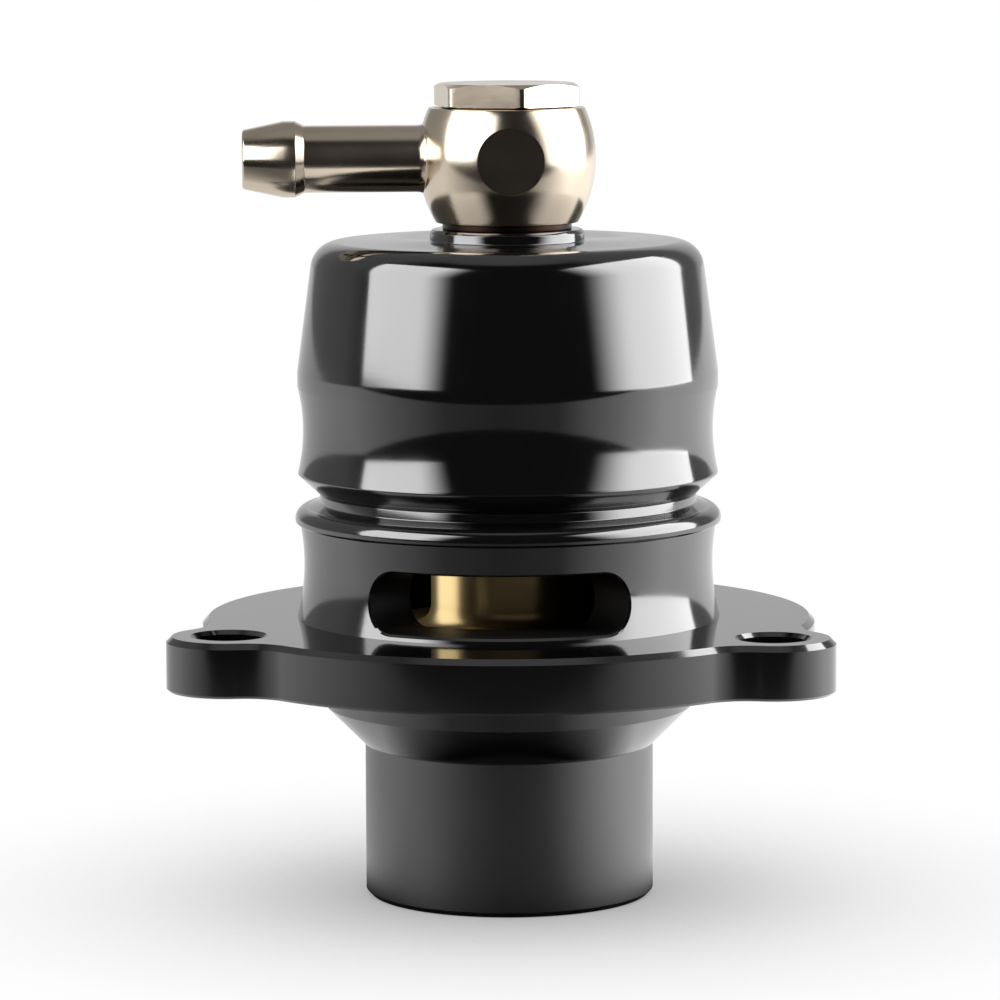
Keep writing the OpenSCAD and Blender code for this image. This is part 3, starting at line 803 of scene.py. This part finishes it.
@dataclass
class BanjoUnion:
    """Bulged eye with its hose barb, the hollow bolt through it and the two sealing washers."""

    eye_r: float = 8.65
    eye_z: float = 43.8
    eye_h: float = 11.15
    bulge_r: float = 12.0
    bore_r: float = 4.5
    barb_z: float = 50.025
    angle: float = 6.0
    tube_r: float = 3.25
    tube_bore_r: float = 2.0
    barb_l: float = 25.7
    ridge_r: float = 3.7
    ridge_land: float = 1.1
    ridge_back: float = 0.9
    nose_l: float = 4.0
    tip_r: float = 2.85
    root_fillet_r: float = 1.6
    spot_r: float = 3.25
    spot_depth: float = 0.7
    washer_r: float = 6.3
    washer_t: float = 0.65
    washer_recess: float = 0.5
    washer_play: float = 0.05
    washer_edge: float = 0.1
    head_z: float = 55.1
    head_h: float = 2.2
    head_af: float = 13.0
    head_bevel: float = 0.5
    head_low_bevel: float = 0.2
    head_turn: float = -75.0
    head_corner_r: float = 0.7
    shank_r: float = 3.95
    shank_end_z: float = 36.4
    shank_chamfer: float = 0.5
    shank_edge: float = 0.1
    shank_play: float = 0.1
    shank_waist_r: float = 3.1
    shank_waist_margin: float = 1.6
    port_r: float = 1.5
    bolt_bore_r: float = 1.8
    barb_edge: float = 0.3
    mouth_chamfer: float = 0.4
    edge: float = 0.15
    # How far a cutter reaches past the metal
    past: float = 1.0

    def eye_section(self) -> Outline:
        """Half section of the eye.

        Returns:
            Radius and height of each point in millimetres.
        """
        top_z = self.eye_z + self.eye_h
        heights = spaced(self.eye_z, top_z, 48)
        axis_r = self.eye_r - self.bulge_r
        corners = [(axis_r + math.sqrt(self.bulge_r ** 2 - (z - self.barb_z) ** 2), z) for z in heights]
        recess_r, seat_z = self.washer_r + self.washer_play, top_z - self.washer_recess
        corners += [(recess_r, top_z), (recess_r, seat_z), (self.bore_r, seat_z), (self.bore_r, self.eye_z)]
        return eased(corners, self.edge)

    def barb_section(self) -> Outline:
        """Half section of the barb with its axis up and the valve's axis at height zero.

        Returns:
            Radius and height of each point in millimetres.
        """
        ridge_z = self.barb_l - self.nose_l
        land_z = ridge_z - self.ridge_land
        wide = self.tube_r + self.root_fillet_r
        root_z = math.sqrt(self.eye_r ** 2 - wide ** 2)
        corners = [(0, self.eye_r / 2), (wide, self.eye_r / 2)]
        corners += arc((wide, root_z + self.root_fillet_r), self.root_fillet_r, 270, 180, 12)
        corners += [(self.tube_r, land_z - self.ridge_back), (self.ridge_r, land_z), (self.ridge_r, ridge_z),
                    (self.tip_r, self.barb_l), (0, self.barb_l)]
        return eased(corners, self.barb_edge, 8)

    def placed(self, made: BMesh, turn: Matrix) -> BMesh:
        """Turns a mesh that was drawn upright, lifts it to the barb's axis and swings it with the barb.

        Args:
            made: The mesh, drawn with its axis up.
            turn: Rotation that lays its axis down.

        Returns:
            The same mesh.
        """
        swing = Matrix.Rotation(math.radians(self.angle), 4, "Z")
        lift = Matrix.Translation((0, 0, self.barb_z * MM))
        bmesh.ops.transform(made, matrix=swing @ lift @ turn, verts=made.verts)
        return made

    def build_eye(self) -> Object:
        """Makes the eye and barb in one piece and hands it over.

        Returns:
            The finished piece.
        """
        nickel = NICKEL.material()
        to_left = Matrix.Rotation(math.radians(-90), 4, "Y")
        to_front = Matrix.Rotation(math.radians(90), 4, "X")
        eye = as_piece(revolve(self.eye_section(), 192), "banjo_union", nickel)
        barb = self.placed(revolve(self.barb_section(), 128), to_left)
        combine(eye, as_piece(barb, "barb", nickel), Cut.JOIN)
        # The hose way ends in a chamfer at the barb's mouth, and its cutter goes on past it at that slope
        mouth_z = self.barb_l - self.mouth_chamfer
        hose_way = [(0, 0), (self.tube_bore_r, 0), (self.tube_bore_r, mouth_z),
                    (self.tube_bore_r + self.past, mouth_z + self.past), (0, mouth_z + self.past)]
        seat_z = self.eye_z + self.eye_h - self.washer_recess
        spot = rod(self.spot_r, self.eye_r - self.spot_depth, self.eye_r + self.past, 128)
        cutters = {"bolt_way": rod(self.bore_r, self.eye_z - self.past, seat_z),
                   "hose_way": self.placed(revolve(hose_way, 64), to_left),
                   "spot_cutter": self.placed(spot, to_front)}
        for name, cutter in cutters.items():
            combine(eye, as_piece(cutter, name, nickel), Cut.REMOVE)
        hand_over(eye, Body.BANJO, "nickel_plate", "banjo_fitting")
        return eye

    def head_reach(self) -> float:
        """Distance in millimetres from the axis to a corner of the hexagon."""
        return self.head_af / 2 / math.cos(math.radians(30))

    def head_outline(self) -> list[Vector]:
        """The hexagon's outline with eased corners, in metres at height zero.

        Returns:
            Its points in order.
        """
        corner_r = self.head_reach()
        # The hexagon is eased clear of the axis, because a corner on the axis stays as it is
        corners = arc((corner_r, corner_r), corner_r, self.head_turn, self.head_turn + 300, 5)
        return [Vector(((x - corner_r) * MM, (y - corner_r) * MM, 0))
                for x, y in eased(corners, self.head_corner_r, 6)]

    def bevel_section(self) -> Outline:
        """Half section that bevels the hexagon's corners above and below.

        Returns:
            Radius and height of each point in millimetres.
        """
        corner_r = self.head_reach()
        top_z, clear_r = self.head_z + self.head_h, corner_r + self.head_low_bevel
        return eased([(0, self.head_z), (corner_r - 2 * self.head_low_bevel, self.head_z),
                      (clear_r, self.head_z + self.head_low_bevel), (clear_r, top_z - self.head_bevel),
                      (corner_r - 2 * self.head_bevel, top_z), (0, top_z)], self.edge)

    def shank_section(self) -> Outline:
        """Half section of the shank, narrowed inside the eye for the air and sunk into the head.

        Returns:
            Radius and height of each point in millimetres.
        """
        low = self.eye_z + self.shank_waist_margin
        high = self.eye_z + self.eye_h - self.shank_waist_margin
        slope = self.shank_r - self.shank_waist_r
        sunk_z = self.head_z + self.shank_chamfer
        return eased([(0, self.shank_end_z), (self.shank_r - self.shank_chamfer, self.shank_end_z),
                      (self.shank_r, self.shank_end_z + self.shank_chamfer), (self.shank_r, low),
                      (self.shank_waist_r, low + slope), (self.shank_waist_r, high - slope),
                      (self.shank_r, high), (self.shank_r, sunk_z), (0, sunk_z)], self.shank_edge)

    def build_bolt(self) -> Object:
        """Makes the bolt and hands it over.

        Returns:
            The finished piece.
        """
        nickel = NICKEL.material()
        hexagon = self.head_outline()
        ends = [raised(hexagon, z) for z in (self.head_z, self.head_z + self.head_h)]
        bolt = as_piece(loft(ends), "hollow_bolt", nickel)
        port = rod(self.port_r, -2 * self.shank_r, 2 * self.shank_r, 48)
        level = Matrix.Translation((0, 0, self.barb_z * MM)) @ Matrix.Rotation(math.radians(90), 4, "X")
        bmesh.ops.transform(port, matrix=level, verts=port.verts)
        bore_top = self.barb_z + 2 * self.port_r
        steps = ((revolve(self.bevel_section(), 192), "bevel", Cut.KEEP_COMMON),
                 (revolve(self.shank_section(), 96), "shank", Cut.JOIN),
                 (rod(self.bolt_bore_r, self.shank_end_z - self.past, bore_top, 64), "bolt_bore", Cut.REMOVE),
                 (port, "bolt_port", Cut.REMOVE))
        for made, name, how in steps:
            combine(bolt, as_piece(made, name, nickel), how)
        hand_over(bolt, Body.HOUSING, "nickel_plate", "banjo_bolt")
        return bolt

    def build_washers(self) -> None:
        """Makes the two sealing washers and hands them over."""
        lower_z = self.eye_z - self.washer_t
        upper_z = self.eye_z + self.eye_h - self.washer_recess
        for name, node, low in (("lower_washer", "lower_sealing_washer", lower_z),
                                ("upper_washer", "upper_sealing_washer", upper_z)):
            inner_r, high = self.shank_r + self.shank_play, low + self.washer_t
            section = [(inner_r, low), (self.washer_r, low), (self.washer_r, high), (inner_r, high)]
            washer = as_piece(revolve(eased(section, self.washer_edge), 128), name, COPPER_TARNISH_AND_SHADE.material())
            hand_over(washer, Body.HOUSING, "washer_copper", node)

    def build(self) -> list[Object]:
        """Makes every piece of the union and returns the bright ones."""
        self.build_washers()
        return [self.build_eye(), self.build_bolt()]


@dataclass
class BrassPiston:
    """Valve head and stem."""

    head_z: float = 2.65
    head_t: float = 1.75
    head_r: float = 13.9
    stem_r: float = 7.6
    stem_top: float = 19.7
    flare_r: float = 2.0
    hollow_r: float = 5.0
    hollow_depth: float = 4.5
    screw_r: float = 2.5
    screw_end_z: float = 8.7
    seal_in_r: float = 12.35
    seal_out_r: float = 13.25
    seal_depth: float = 0.9
    edge: float = 0.3

    def build(self) -> Object:
        """Makes the piston and hands it over.

        Returns:
            The finished piece.
        """
        head_top = self.head_z + self.head_t
        hollow_z, seal_z = self.head_z + self.hollow_depth, self.head_z + self.seal_depth
        corners = [(0, hollow_z), (self.hollow_r, hollow_z), (self.hollow_r, self.head_z),
                   (self.seal_in_r, self.head_z), (self.seal_in_r, seal_z), (self.seal_out_r, seal_z),
                   (self.seal_out_r, self.head_z), (self.head_r, self.head_z), (self.head_r, head_top)]
        corners += arc((self.stem_r + self.flare_r, head_top + self.flare_r), self.flare_r, 270, 180, 16)
        corners += [(self.stem_r, self.stem_top), (self.screw_r, self.stem_top),
                    (self.screw_r, self.screw_end_z), (0, self.screw_end_z)]
        piston = as_piece(revolve(eased(corners, self.edge), 192), "brass_piston", BRASS.material())
        hand_over(piston, Body.PISTON, "turned_brass", "valve_piston")
        return piston


@dataclass
class MainSpring:
    """Coil spring with a closed turn at each end, swept along its path by Geometry Nodes."""

    wire_r: float = 0.9
    mean_r: float = 10.2
    low_z: float = 21.05
    high_z: float = 38.05
    turns: float = 6.5
    closed_pitch: float = 1.872
    lift: float = 6.0
    rings_per_turn: int = 48
    sides: int = 16

    def tree(self) -> NodeTree:
        """Builds the node tree that winds the wire.

        Returns:
            The tree.
        """
        floats = ("Turns", "Rings Per Turn", "Mean Radius", "Wire Radius", "Start Height", "Closed Pitch",
                  "Open Rise")
        tree = new_tree("wound_wire", {"Shape": "Geometry", "Rings": "Int", "Sides": "Int",
                                       "Finish": "Material", **dict.fromkeys(floats, "Float")})
        node = partial(add_node, tree)
        given = node("NodeGroupInput").outputs
        index = node("GeometryNodeInputIndex")
        turn = node("ShaderNodeMath", {0: index, 1: given["Rings Per Turn"]}, operation="DIVIDE")
        last_open = node("ShaderNodeMath", {0: given["Turns"], 1: 1.0}, operation="SUBTRACT")
        # The wire climbs slowly in the first and last turn, which are closed, and evenly between them
        height = given["Start Height"]
        for start, end, climb in ((0.0, 1.0, "Closed Pitch"), (1.0, last_open, "Open Rise"),
                                  (last_open, given["Turns"], "Closed Pitch")):
            rise = node("ShaderNodeMapRange", {
                "Value": turn, "From Min": start, "From Max": end, "To Max": given[climb]})
            height = node("ShaderNodeMath", {0: height, 1: rise}, operation="ADD")
        angle = node("ShaderNodeMath", {0: turn, 1: FULL_TURN}, operation="MULTIPLY")
        place = {"Z": height}
        for axis, wave in (("X", "COSINE"), ("Y", "SINE")):
            swing = node("ShaderNodeMath", {0: angle}, operation=wave)
            place[axis] = node("ShaderNodeMath", {0: swing, 1: given["Mean Radius"]}, operation="MULTIPLY")
        spot = node("ShaderNodeCombineXYZ", place)
        line = node("GeometryNodeMeshLine", {"Count": given["Rings"]})
        path = node("GeometryNodeSetPosition", {"Geometry": line, "Position": spot})
        curve = node("GeometryNodeMeshToCurve", {"Mesh": path})
        circle = node("GeometryNodeCurvePrimitiveCircle", {
            "Resolution": given["Sides"], "Radius": given["Wire Radius"]})
        wire = node("GeometryNodeCurveToMesh", {"Curve": curve, "Profile Curve": circle, "Fill Caps": True})
        close_tree(tree, wire, given["Finish"])
        return tree

    def build(self) -> None:
        """Winds the spring and hands it over."""
        rise = self.high_z - self.low_z - 2 * self.wire_r
        coil = as_piece(bmesh.new(), "spring_coil", SPRING_STEEL.material())
        run_nodes(coil, self.tree(), {
            "Rings": round(self.turns * self.rings_per_turn) + 1, "Sides": self.sides,
            "Finish": SPRING_STEEL.material(), "Turns": self.turns,
            "Rings Per Turn": float(self.rings_per_turn),
            "Mean Radius": self.mean_r * MM, "Wire Radius": self.wire_r * MM,
            "Start Height": (self.low_z + self.wire_r) * MM, "Closed Pitch": self.closed_pitch * MM,
            "Open Rise": (rise - 2 * self.closed_pitch) * MM})
        hand_over(coil, Body.HOUSING, "spring_steel", "main_spring")
        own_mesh(coil)


def dress_inner_nodes() -> None:
    """Gives the inner pieces that stay as packed their finishes."""
    finishes = {"cap_o_ring": RUBBER, "piston_guide": ALUMINIUM, "guide_bush": BRONZE,
                "guide_retaining_ring": SPRING_STEEL, "seat_seal": RUBBER, "actuator_piston": ALUMINIUM,
                "actuator_o_ring": RUBBER, "wear_ring": WEAR_PLASTIC, "piston_screw": SPRING_STEEL,
                "piston_washer": ZINC, "spring_shim": ZINC}
    for name, finish in finishes.items():
        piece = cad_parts[name]
        piece.data.materials.clear()
        piece.data.materials.append(finish.material())
        log.info("%s: %s", name, finish.name)


@dataclass(frozen=True)
class View:
    """The camera: a long lens a little above the flange and a little to the right of the front."""

    azimuth: float = 3.2
    elevation: float = 6.9
    roll: float = 0.24
    distance: float = 490.0
    lens: float = 180.0
    aim_z: float = 16.53
    aim_left: float = 0.80

    def direction(self, azimuth: float, elevation: float) -> Vector:
        """Direction from the valve, with the azimuth counted from the camera towards the right.

        Args:
            azimuth: Angle to the right of the camera in degrees.
            elevation: Angle above the horizon in degrees.

        Returns:
            A unit vector.
        """
        turn, rise = math.radians(self.azimuth + azimuth), math.radians(elevation)
        return Vector((math.sin(turn) * math.cos(rise), -math.cos(turn) * math.cos(rise), math.sin(rise)))

    def build(self) -> None:
        """Makes the camera and sets it as the scene's."""
        data = bpy.data.cameras.new("camera")
        data.lens = self.lens
        data.clip_end = 20.0
        camera = bpy.data.objects.new("camera", data)
        bpy.context.scene.collection.objects.link(camera)
        right = self.direction(90, 0)
        target = Vector((0, 0, self.aim_z * MM)) - right * self.aim_left * MM
        camera.location = target + self.direction(0, self.elevation) * self.distance * MM
        level = (target - camera.location).to_track_quat("-Z", "Y").to_matrix()
        camera.rotation_euler = (level @ Matrix.Rotation(math.radians(-self.roll), 3, "Z")).to_euler()
        bpy.context.scene.camera = camera


@dataclass(frozen=True)
class Softbox:
    """A lamp behind a sheet of cloth that faces the valve, given by the angles that its lower edge fills."""

    name: str
    left: float
    right: float
    low: float
    high: float
    radiance: float
    fade_start: float = 0.0
    fade_end: float = 0.0
    distance: float = 520.0
    centre_z: float = 20.0

    def build(self, view: View) -> Object:
        """Makes the lamp.

        Args:
            view: The camera, from which the angles are counted.

        Returns:
            The lamp, which the camera itself doesn't see.
        """
        lamp = bpy.data.lights.new(self.name, "AREA")
        lamp.shape = "RECTANGLE"
        reach = self.distance * MM
        half_height = math.radians(self.high - self.low) / 2
        edge_reach = reach * math.cos(math.radians(self.low)) / math.cos(half_height)
        lamp.size = 2 * edge_reach * math.tan(math.radians(self.right - self.left) / 2)
        lamp.size_y = 2 * reach * math.tan(half_height)
        lamp.energy = LAMP_POWER * self.radiance * lamp.size * lamp.size_y
        if self.fade_start != self.fade_end:
            self.fade(lamp)
        box = bpy.data.objects.new(self.name, lamp)
        box.visible_camera = False
        bpy.context.scene.collection.objects.link(box)
        away = view.direction((self.left + self.right) / 2, (self.low + self.high) / 2)
        box.location = Vector((0, 0, self.centre_z * MM)) + away * reach
        box.rotation_euler = away.to_track_quat("Z", "Y").to_euler()
        return box

    def fade(self, lamp: Light) -> None:
        """Lets the cloth grow dim between two shares of its width, the first one dark.

        Args:
            lamp: The lamp behind the cloth.
        """
        lamp.use_nodes = True
        tree = lamp.node_tree
        tree.nodes.clear()
        node = partial(add_node, tree)
        place = node("ShaderNodeNewGeometry").outputs["Parametric"]
        across = node("ShaderNodeSeparateXYZ", {"Vector": place}).outputs["X"]
        light = node("ShaderNodeMapRange", {
            "Value": across, "From Min": self.fade_start, "From Max": self.fade_end},
            interpolation_type="SMOOTHSTEP")
        glow = node("ShaderNodeEmission", {"Color": linear(WHITE), "Strength": light})
        node("ShaderNodeOutputLight", {"Surface": glow})


@dataclass(frozen=True)
class Studio:
    """Pale floor that ends in front, a white backdrop behind and a dark room on the camera's side."""

    floor_z: float = -22.3
    floor_front: float = 163.0
    floor_back: float = 3000.0
    floor_side: float = 1500.0
    # Painted shadow to the eye: how far round the valve it reaches, and how deep it is
    shadow_reach: float = 45.0
    shadow_depth: float = 0.65
    # Painted shadow in mirrors: the floor is dark within the first distance from the valve's foot and clear
    # beyond the second
    painted_foot_shadow_full: float = 15.0
    painted_foot_shadow_end: float = 24.0
    card: str = "#e6e6e4"
    # Painted light of the floor in mirrors, by the angle round the valve in degrees from the front towards
    # the right
    floor_light: tuple[Point, ...] = ((-90, 0.95), (-60, 0.55), (-30, 0.17), (0, 0.11), (30, 0.16), (60, 0.8),
                                      (95, 1.75), (140, 1.5), (180, 0.85), (270, 0.95))
    # Light of the room: the axis along which it changes, where, and its levels before and after
    room_light: tuple[tuple[str, float, float, float, float], ...] = (
        ("Y", -0.25, 0.2, 0.02, 0.3), ("Y", 0.75, 0.92, 0.0, 0.75), ("Z", 0.88, 0.98, 0.0, 0.33))

    def build_floor(self) -> None:
        """Makes the floor, with a soft shadow painted round the valve."""
        made = bmesh.new()
        corners = ((-self.floor_side, -self.floor_front), (self.floor_side, -self.floor_front),
                   (self.floor_side, self.floor_back), (-self.floor_side, self.floor_back))
        made.faces.new([made.verts.new((x * MM, y * MM, self.floor_z * MM)) for x, y in corners])
        floor = as_piece(made, "studio_floor", self.floor_material())

    def floor_material(self) -> Material:
        """Pale card: white with a painted soft shadow to the eye, in mirrors painted light that is darker in
        front than at the sides and painted shadow at the valve's foot.

        Returns:
            The material.
        """
        material = bpy.data.materials.new("pale_studio_card")
        material.use_nodes = True
        tree = material.node_tree
        tree.nodes.clear()
        node = partial(add_node, tree)
        # Painted shadow: to the eye the floor's glow dims with ambient occlusion near the valve
        near = node("ShaderNodeAmbientOcclusion", {"Distance": self.shadow_reach * MM}, samples=16)
        shadow = node("ShaderNodeMath", {0: near.outputs["AO"], 1: self.shadow_depth}, operation="POWER")
        seen = node("ShaderNodeEmission", {"Color": linear(WHITE), "Strength": shadow})
        # Painted light: in mirrors the floor's glow follows the angle round the valve, as a card lit from the
        # sides would
        place = node("ShaderNodeTexCoord").outputs["Object"]
        round_about = node("ShaderNodeTexGradient", {"Vector": place}, gradient_type="RADIAL")
        ramp = node("ShaderNodeValToRGB", {"Fac": round_about.outputs["Fac"]})
        brightest = max(level for _, level in self.floor_light)
        stops = ramp.color_ramp.elements
        while len(stops) < len(self.floor_light):
            stops.new(0.5)
        for stop, (angle, level) in zip(stops, self.floor_light):
            stop.position = (angle + 90) / 360
            stop.color = (level / brightest,) * 3 + (1.0,)
        # Painted shadow: in mirrors the floor is dark close round the valve's foot, for the shade under the
        # flange
        foot = (0, 0, self.floor_z * MM)
        distance = node("ShaderNodeVectorMath", {0: place, 1: foot}, operation="DISTANCE").outputs["Value"]
        clear = node("ShaderNodeMapRange", {
            "Value": distance, "From Min": self.painted_foot_shadow_full * MM, "From Max": self.painted_foot_shadow_end * MM,
            "To Max": brightest})
        painted_mirror_light = node("ShaderNodeEmission", {"Color": ramp, "Strength": clear})
        path = node("ShaderNodeLightPath").outputs
        mirror = node("ShaderNodeMath", {0: path["Is Glossy Ray"], 1: path["Is Transmission Ray"]},
                      operation="MAXIMUM")
        surface = node("ShaderNodeBsdfDiffuse", {"Color": linear(self.card)})
        for chosen, other in ((mirror, painted_mirror_light), (path["Is Camera Ray"], seen)):
            surface = node("ShaderNodeMixShader", {"Fac": chosen, 1: surface, 2: other})
        node("ShaderNodeOutputMaterial", {"Surface": surface})
        return material

    def build_world(self) -> None:
        """Makes the backdrop and the dark room."""
        world = bpy.data.worlds.new("studio")
        bpy.context.scene.world = world
        world.use_nodes = True
        tree = world.node_tree
        tree.nodes.clear()
        node = partial(add_node, tree)
        place = node("ShaderNodeTexCoord").outputs["Generated"]
        split = node("ShaderNodeSeparateXYZ", {"Vector": place}).outputs
        room = 0.0
        for axis, start, end, before, after in self.room_light:
            level = node("ShaderNodeMapRange", {
                "Value": split[axis], "From Min": start, "From Max": end, "To Min": before, "To Max": after},
                interpolation_type="SMOOTHSTEP")
            room = node("ShaderNodeMath", {0: room, 1: level}, operation="MAXIMUM")
        lit = node("ShaderNodeBackground", {"Color": linear(WHITE), "Strength": room})
        white = node("ShaderNodeBackground", {"Color": linear(WHITE), "Strength": 1.0})
        seen = node("ShaderNodeLightPath").outputs["Is Camera Ray"]
        both = node("ShaderNodeMixShader", {"Fac": seen, 1: lit, 2: white})
        node("ShaderNodeOutputWorld", {"Surface": both})


SOFTBOXES = (Softbox("left_softbox", -84.5, -33, 1.5, 52, 4.0, fade_start=1.0, fade_end=0.62),
             Softbox("right_softbox", 47, 118, -2.5, 54, 4.4, fade_start=0.0, fade_end=0.42))
# A small lamp at the left of the chamber and a dim card in front that only the brass shows, in place of the
# left softbox
PISTON_LAMPS = (Softbox("lamp_in_the_chamber", -100, -61, -14, 18, 1.5, distance=13.4, centre_z=8.0),
                Softbox("piston_front_fill", -24, 60, -14, 22, 0.035, distance=60, centre_z=8.0))
# Two cards that only the bright metal of the union shows, as it does in a tent of white cloth
UNION_FILLS = (Softbox("union_low_fill", -25, 25, -62, -28, 1.0, distance=70, centre_z=50.0),
               Softbox("union_side_fill", -36, -13, 3, 40, 2.4, fade_start=1.0, fade_end=0.6, distance=300,
                       centre_z=50.0))


def link_light(lamp: Object, pieces: list[Object], reach: Reach) -> None:
    """Lets a lamp light only some pieces, or all but those.

    Args:
        lamp: The lamp.
        pieces: The pieces that the choice names.
        reach: Whether the lamp lights them or leaves them out.
    """
    named = bpy.data.collections.new(lamp.name + "_pieces")
    for piece in pieces:
        named.objects.link(piece)
    for entry in named.collection_objects:
        entry.light_linking.link_state = reach.value
    lamp.light_linking.receiver_collection = named


def main() -> None:
    """Builds every piece, the studio and the camera."""
    logging.basicConfig(level=logging.INFO, format="%(name)s: %(message)s")
    bpy.context.scene.view_settings.view_transform = "Standard"
    view = View()
    view.build()
    left_lamp, _ = (softbox.build(view) for softbox in SOFTBOXES)
    studio = Studio()
    studio.build_world()
    studio.build_floor()
    Housing().build()
    Cap().build()
    union = BanjoUnion().build()
    for fill in UNION_FILLS:
        link_light(fill.build(view), union, Reach.ONLY)
    piston = BrassPiston().build()
    for lamp in PISTON_LAMPS:
        link_light(lamp.build(view), [piston], Reach.ONLY)
    link_light(left_lamp, [piston], Reach.ALL_BUT)
    MainSpring().build()
    dress_inner_nodes()


if __name__ == "__main__":
    main()
